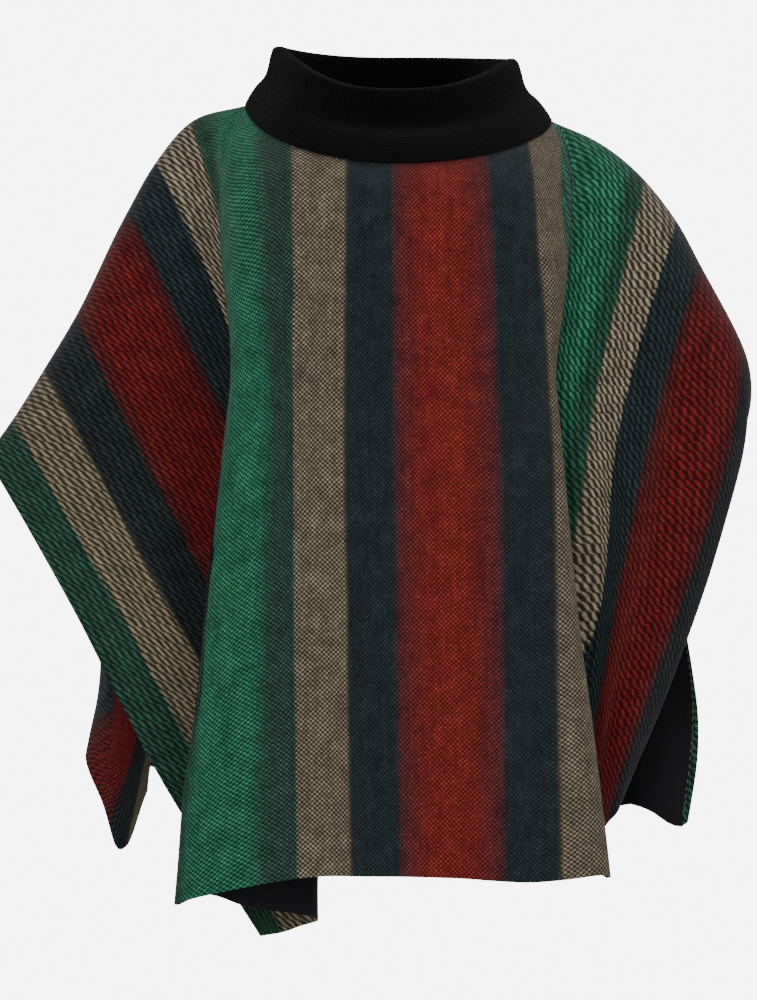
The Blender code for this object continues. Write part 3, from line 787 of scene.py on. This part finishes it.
def slanted_strokes(tree, place, way):
    """Strokes of the cloth on the bias: the sum of two sines, lines and what breaks them up.

    The lines' sine runs the given way. The other one has half its turns that way, and its own
    along the lines, so each line swells and thins out of step with the next.
    """
    aside, along = (add_node(tree, "ShaderNodeVectorMath", {"operation": "DOT_PRODUCT"},
                             {0: place, 1: axis}).outputs["Value"]
                    for axis in (way, (way[1], -way[0], 0.0)))
    slant = add_node(tree, "ShaderNodeMath", {"operation": "MULTIPLY"},
                     {0: aside, 1: 2 * np.pi / STROKE_SPACING})
    run = add_node(tree, "ShaderNodeMath", {"operation": "MULTIPLY"},
                   {0: along, 1: 2 * np.pi / STROKE_LENGTH})
    both = add_node(tree, "ShaderNodeMath", {"operation": "MULTIPLY_ADD"}, {0: slant, 1: 0.5, 2: run})
    line = add_node(tree, "ShaderNodeMath", {"operation": "SINE"}, {0: slant})
    gap = add_node(tree, "ShaderNodeMath", {"operation": "SINE"}, {0: both})
    lines = add_node(tree, "ShaderNodeMath", {"operation": "MULTIPLY"}, {0: line, 1: STROKE_LINES})
    return add_node(tree, "ShaderNodeMath", {"operation": "MULTIPLY_ADD"},
                    {0: gap, 1: STROKE_BREAKS, 2: lines})


def uneven_shade(tree, cut, moved):
    """Shade of the wool at each place: each square's own, times slow blotches, times warp streaks."""
    square = add_node(tree, "ShaderNodeVectorMath", {"operation": "SNAP"},
                      {0: moved, 1: (WEAVE_CELL, WEAVE_CELL, 1.0)})
    own = add_node(tree, "ShaderNodeTexWhiteNoise", {"noise_dimensions": "2D"}, {"Vector": square})
    mottle = add_node(tree, "ShaderNodeTexNoise", {}, {"Vector": cut, "Scale": 55.0, "Detail": 5.0})
    drawn = add_node(tree, "ShaderNodeVectorMath", {"operation": "MULTIPLY"},
                     {0: cut, 1: (1.0, STREAK_SQUEEZE, 1.0)})
    streak = add_node(tree, "ShaderNodeTexNoise", {}, {"Vector": drawn, "Scale": 240.0, "Detail": 2.0})
    shade = add_node(tree, "ShaderNodeMath", {"operation": "MULTIPLY_ADD"},
                     {0: own.outputs["Value"], 1: OWN_SHADE, 2: 1 - OWN_SHADE / 2})
    for source, amount in ((mottle, MOTTLE), (streak, STREAK)):
        times = add_node(tree, "ShaderNodeMath", {"operation": "MULTIPLY_ADD"},
                         {0: source.outputs["Fac"], 1: amount, 2: 1 - amount / 2})
        shade = add_node(tree, "ShaderNodeMath", {"operation": "MULTIPLY"}, {0: shade, 1: times})
    return shade


def striped_wool():
    """Woven wool blanket cloth: a light and a dark thread that swap places in small squares.

    The stripe table gives both threads at each place across. The squares are a checker of sines
    that fibres fray, and out on the wings, where the cloth hangs on the bias, slanted strokes take
    their place. Slow noise moves the squares and turns the hue.
    """
    # Woven wool is matt and hairy: high roughness, little specular and a weak sheen at its edges.
    material, tree, shader = new_material("woven_wool", roughness=0.95, specular=0.1, sheen=0.12,
                                          sheen_roughness=0.5)
    cut = add_node(tree, "ShaderNodeUVMap", {"uv_map": "cut"})
    drift = add_node(tree, "ShaderNodeTexNoise", {}, {"Vector": cut, "Scale": 45.0, "Detail": 2.0})
    moved, wandering = (add_node(tree, "ShaderNodeVectorMath", {"operation": "MULTIPLY_ADD"},
                                 {0: drift.outputs["Color"], 1: (most, most, 0.0), 2: cut})
                        for most in (WEAVE_DRIFT, STROKE_DRIFT))
    place = add_node(tree, "ShaderNodeSeparateXYZ", {}, {0: moved})
    dark, light = stripe_threads(tree, place.outputs["X"])
    weave = woven_squares(tree, place)
    for (near, far), way in WINGS:
        wing = add_node(tree, "ShaderNodeMapRange", {},
                        {"Value": place.outputs["X"], "From Min": near, "From Max": far})
        strokes = slanted_strokes(tree, wandering, way)
        weave = add_node(tree, "ShaderNodeMix", {}, {"Factor": wing, 2: weave, 3: strokes})
    fibre = add_node(tree, "ShaderNodeTexNoise", {}, {"Vector": cut, "Scale": 800.0, "Detail": 3.0})
    frayed = add_node(tree, "ShaderNodeMath", {"operation": "MULTIPLY_ADD"},
                      {0: fibre.outputs["Fac"], 1: FRAY, 2: -FRAY / 2})
    raised = add_node(tree, "ShaderNodeMath", {"operation": "ADD"}, {0: weave, 1: frayed})
    swap = add_node(tree, "ShaderNodeMapRange", {"interpolation_type": "SMOOTHSTEP"},
                    {"Value": raised, "From Min": THREAD_SWAP[0], "From Max": THREAD_SWAP[1]})
    woven = add_node(tree, "ShaderNodeMix", {"data_type": "RGBA"}, {"Factor": swap, 6: dark, 7: light})
    hue = add_node(tree, "ShaderNodeMath", {"operation": "MULTIPLY_ADD"},
                   {0: drift.outputs["Fac"], 1: HUE_DRIFT, 2: 0.5 - HUE_DRIFT / 2})
    coloured = add_node(tree, "ShaderNodeHueSaturation", {}, {
        "Hue": hue, "Value": uneven_shade(tree, cut, moved), "Color": woven.outputs[2]})
    tree.links.new(coloured.outputs[0], shader.inputs["Base Color"])
    height = add_node(tree, "ShaderNodeMath", {"operation": "ABSOLUTE"}, {0: weave})
    puffed = add_node(tree, "ShaderNodeMath", {"operation": "MULTIPLY_ADD"},
                      {0: height, 1: SQUARE_HEIGHT, 2: fibre.outputs["Fac"]})
    bump = add_node(tree, "ShaderNodeBump", {}, {"Height": puffed, "Distance": 0.0007, "Strength": 0.7})
    tree.links.new(bump.outputs[0], shader.inputs["Normal"])
    return material


def black_lining():
    """Plain-woven satin-like lining: black with a blue cast, loose, with slight wrinkles and painted shade
    in their hollows.
    """
    # Smooth filament threads give a lower roughness than wool and a faint cool highlight.
    material, tree, shader = new_material("woven_lining", roughness=0.6, specular=0.2, sheen=0.04,
                                          sheen_roughness=0.4)
    cut = add_node(tree, "ShaderNodeUVMap", {"uv_map": "cut"})
    wrinkles_and_painted_shade = add_node(tree, "ShaderNodeTexNoise", {}, {"Vector": cut, "Scale": 22.0, "Detail": 3.0})
    thread = add_node(tree, "ShaderNodeTexNoise", {}, {"Vector": cut, "Scale": 1500.0, "Detail": 1.0})
    # Painted shade and light: the noise that raises the wrinkles also mixes the colour, darker in their
    # hollows and lighter on their crests.
    colour = add_node(tree, "ShaderNodeMix", {"data_type": "RGBA"},
                      {"Factor": wrinkles_and_painted_shade.outputs["Fac"], 6: linear("#08080c"), 7: linear("#101016")})
    tree.links.new(colour.outputs[2], shader.inputs["Base Color"])
    height = add_node(tree, "ShaderNodeMath", {"operation": "MULTIPLY_ADD"},
                      {0: wrinkles_and_painted_shade.outputs["Fac"], 1: WRINKLE_HEIGHT, 2: thread.outputs["Fac"]})
    bump = add_node(tree, "ShaderNodeBump", {}, {"Height": height, "Distance": 0.0005, "Strength": 0.6})
    tree.links.new(bump.outputs[0], shader.inputs["Normal"])
    return material


def black_knit():
    """Fine knit: columns of loops round the neck, each row of loops a small arch.

    A column's height is a sine without its sign. A row is a sine up the band, pushed on by the
    column's height, so that it arches over each column.
    """
    # Knitted wool takes almost all light; only a weak sheen tells its round loops.
    material, tree, shader = new_material("knit", roughness=0.95, specular=0.05, sheen=0.05,
                                          sheen_roughness=0.5)
    cut = add_node(tree, "ShaderNodeUVMap", {"uv_map": "cut"})
    place = add_node(tree, "ShaderNodeSeparateXYZ", {}, {0: cut})
    around = add_node(tree, "ShaderNodeMath", {"operation": "MULTIPLY"},
                      {0: place.outputs["X"], 1: np.pi / KNIT_COLUMN})
    wave = add_node(tree, "ShaderNodeMath", {"operation": "SINE"}, {0: around})
    column = add_node(tree, "ShaderNodeMath", {"operation": "ABSOLUTE"}, {0: wave})
    up = add_node(tree, "ShaderNodeMath", {"operation": "MULTIPLY"},
                  {0: place.outputs["Y"], 1: 2 * np.pi / KNIT_ROW})
    arch = add_node(tree, "ShaderNodeMath", {"operation": "MULTIPLY_ADD"},
                    {0: column, 1: KNIT_ARCH, 2: up})
    row = add_node(tree, "ShaderNodeMath", {"operation": "SINE"}, {0: arch})
    loops = add_node(tree, "ShaderNodeMath", {"operation": "MULTIPLY_ADD"},
                     {0: row, 1: KNIT_LOOP, 2: column})
    fibre = add_node(tree, "ShaderNodeTexNoise", {}, {"Vector": cut, "Scale": 700.0, "Detail": 3.0})
    height = add_node(tree, "ShaderNodeMath", {"operation": "ADD"}, {0: loops, 1: fibre.outputs["Fac"]})
    colour = add_node(tree, "ShaderNodeMix", {"data_type": "RGBA"},
                      {"Factor": fibre.outputs["Fac"], 6: linear("#040404"), 7: linear("#0b0b0b")})
    tree.links.new(colour.outputs[2], shader.inputs["Base Color"])
    bump = add_node(tree, "ShaderNodeBump", {}, {"Height": height, "Distance": 0.0008, "Strength": 0.8})
    tree.links.new(bump.outputs[0], shader.inputs["Normal"])
    return material


def pale_thread():
    """Spun sewing thread in pale beige with slightly darker twists along it."""
    # Thread has a soft lustre, so it is a little smoother than the wool it holds.
    material, tree, shader = new_material("pale_thread", roughness=0.7, specular=0.3, sheen=0.2,
                                          sheen_roughness=0.5)
    spot = add_node(tree, "ShaderNodeTexCoord").outputs["Object"]
    twist = add_node(tree, "ShaderNodeTexNoise", {}, {"Vector": spot, "Scale": 2500.0})
    colour = add_node(tree, "ShaderNodeMix", {"data_type": "RGBA"},
                      {"Factor": twist.outputs["Fac"], 6: linear("#7b705c"), 7: linear("#b9a98a")})
    tree.links.new(colour.outputs[2], shader.inputs["Base Color"])
    return material


def floor():
    """Plain pale floor, well below the poncho, which its wearer holds up."""
    corners = [(x * FLOOR_REACH, y * FLOOR_REACH, FLOOR_HEIGHT)
               for x, y in ((-1, -1), (1, -1), (1, 1), (-1, 1))]
    mesh = bpy.data.meshes.new("floor")
    mesh.from_pydata(corners, [], [(0, 1, 2, 3)])
    # Painted board: matt and almost white.
    material, _, shader = new_material("floor_paint", roughness=0.9, specular=0.1, sheen=0.0,
                                       sheen_roughness=0.5)
    shader.inputs["Base Color"].default_value = linear("#f0f0f0")
    mesh.materials.append(material)
    ground = bpy.data.objects.new("floor", mesh)
    bpy.context.collection.objects.link(ground)


def camera():
    """Camera straight in front of the poncho, with a long lens that takes in the photo's view."""
    lens = bpy.data.cameras.new("camera")
    lens.sensor_width = 36.0
    lens.lens = lens.sensor_width * CAMERA_DISTANCE / VIEW_HEIGHT
    lens.clip_end = 100.0
    seen = bpy.data.objects.new("camera", lens)
    seen.location = (VIEW_MIDDLE[0], -CAMERA_DISTANCE, VIEW_MIDDLE[1])
    seen.rotation_euler = (np.pi / 2, 0.0, 0.0)
    bpy.context.collection.objects.link(seen)
    bpy.context.scene.camera = seen


def lights():
    """Soft boxes that face the poncho, and a pale surround that the camera sees brighter."""
    for name, place, size, power in LIGHTS:
        lamp = bpy.data.lights.new(name, "AREA")
        lamp.shape = "RECTANGLE"
        lamp.size, lamp.size_y = size
        lamp.energy = power
        box = bpy.data.objects.new(name, lamp)
        box.location = place
        box.rotation_euler = Vector(np.subtract(LIGHT_AIM, place)).to_track_quat("-Z", "Y").to_euler()
        bpy.context.collection.objects.link(box)
    world = bpy.data.worlds.new("surround")
    world.use_nodes = True
    ray = add_node(world.node_tree, "ShaderNodeLightPath").outputs["Is Camera Ray"]
    strength = add_node(world.node_tree, "ShaderNodeMath", {"operation": "MULTIPLY_ADD"},
                        {0: ray, 1: SURROUND_SEEN - SURROUND_LIGHT, 2: SURROUND_LIGHT})
    shader = world.node_tree.nodes["Background"]
    shader.inputs["Color"].default_value = linear("#ffffff")
    world.node_tree.links.new(strength.outputs[0], shader.inputs["Strength"])
    bpy.context.scene.world = world


def declared(node):
    """Hides the CAD part of a node that a draped sheet of its cut stands for."""
    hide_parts(node)


def cloth_pieces(side, wool, lining):
    """One striped panel and the lining behind it, made as sheets in place of the hidden CAD parts; gives
    the dressed grid.
    """
    points, across, down, normals = dressed_grid(side)
    half = CLOTH_THICKNESS / 2
    up = down[-1] - down
    cloth = cloth_object(side + "_cloth", points, normals, half, -half, (across, up), wool)
    declared(side + "_panel")
    face = -half - LINING_GAP
    inside = slice(1, -1)
    backing = cloth_object(side + "_backing", points[:, inside], normals[:, inside], face,
                           face - LINING_THICKNESS, (across[:, inside], up[:, inside]), lining)
    declared(side + "_lining")
    return points, normals


def collar_piece(knit):
    """The folded funnel collar."""
    points, around, up = collar_grid(COLLAR_COLUMNS, COLLAR_ROWS)
    half = KNIT_THICKNESS / 2
    collar = cloth_object("collar", points, ring_normals(points), half, -half, (around, up), knit,
                          closed=True)
    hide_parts("knit_collar")


def edge_stitches(side, grid, normals, thread):
    """Stitches down a panel's two turned edges, on the lining's side."""
    for end, column in (("left", 1), ("right", -2)):
        inward = -normals[STITCH_FIRST_ROW:, column]
        path = grid[STITCH_FIRST_ROW:, column] + CLOTH_THICKNESS / 2 * inward
        row = stitch_row("stitches_%s_%s" % (side, end), path, inward, thread)


def main():
    """Stage and pieces."""
    camera()
    floor()
    lights()
    wool = striped_wool()
    lining = black_lining()
    front = cloth_pieces("front", wool, lining)
    back = cloth_pieces("back", wool, lining)
    collar_piece(black_knit())
    thread = pale_thread()
    edge_stitches("front", *front, thread)
    edge_stitches("back", *back, thread)


main()
